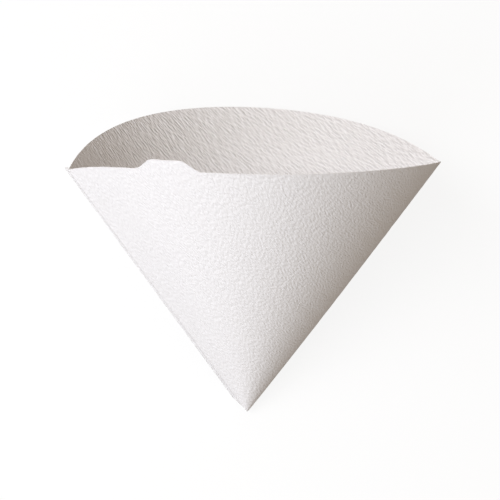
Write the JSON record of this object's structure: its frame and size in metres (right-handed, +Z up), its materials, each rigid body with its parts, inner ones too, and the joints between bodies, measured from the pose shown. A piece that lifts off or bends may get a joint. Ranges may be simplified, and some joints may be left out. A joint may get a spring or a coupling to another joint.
{
  "type": "paper coffee filter",
  "caption": "Cone-shaped creped paper coffee filter, opened out, with a crimped seam flap and a small pull tab on its rim.",
  "frame": {"origin": "on the ground under the middle of the filter, which lies on its back panel", "axes": "+Z up, +X from the seam to the fold, +Y from the tip to the open mouth; the front panel with the tab faces up"},
  "size_m": [0.138, 0.117, 0.0942],
  "materials": {
    "creped_paper": "matt creped filter paper, bleached white"
  },
  "bodies": {
    "root": {"filter_paper": "creped_paper"}
  },
  "joints": []
}
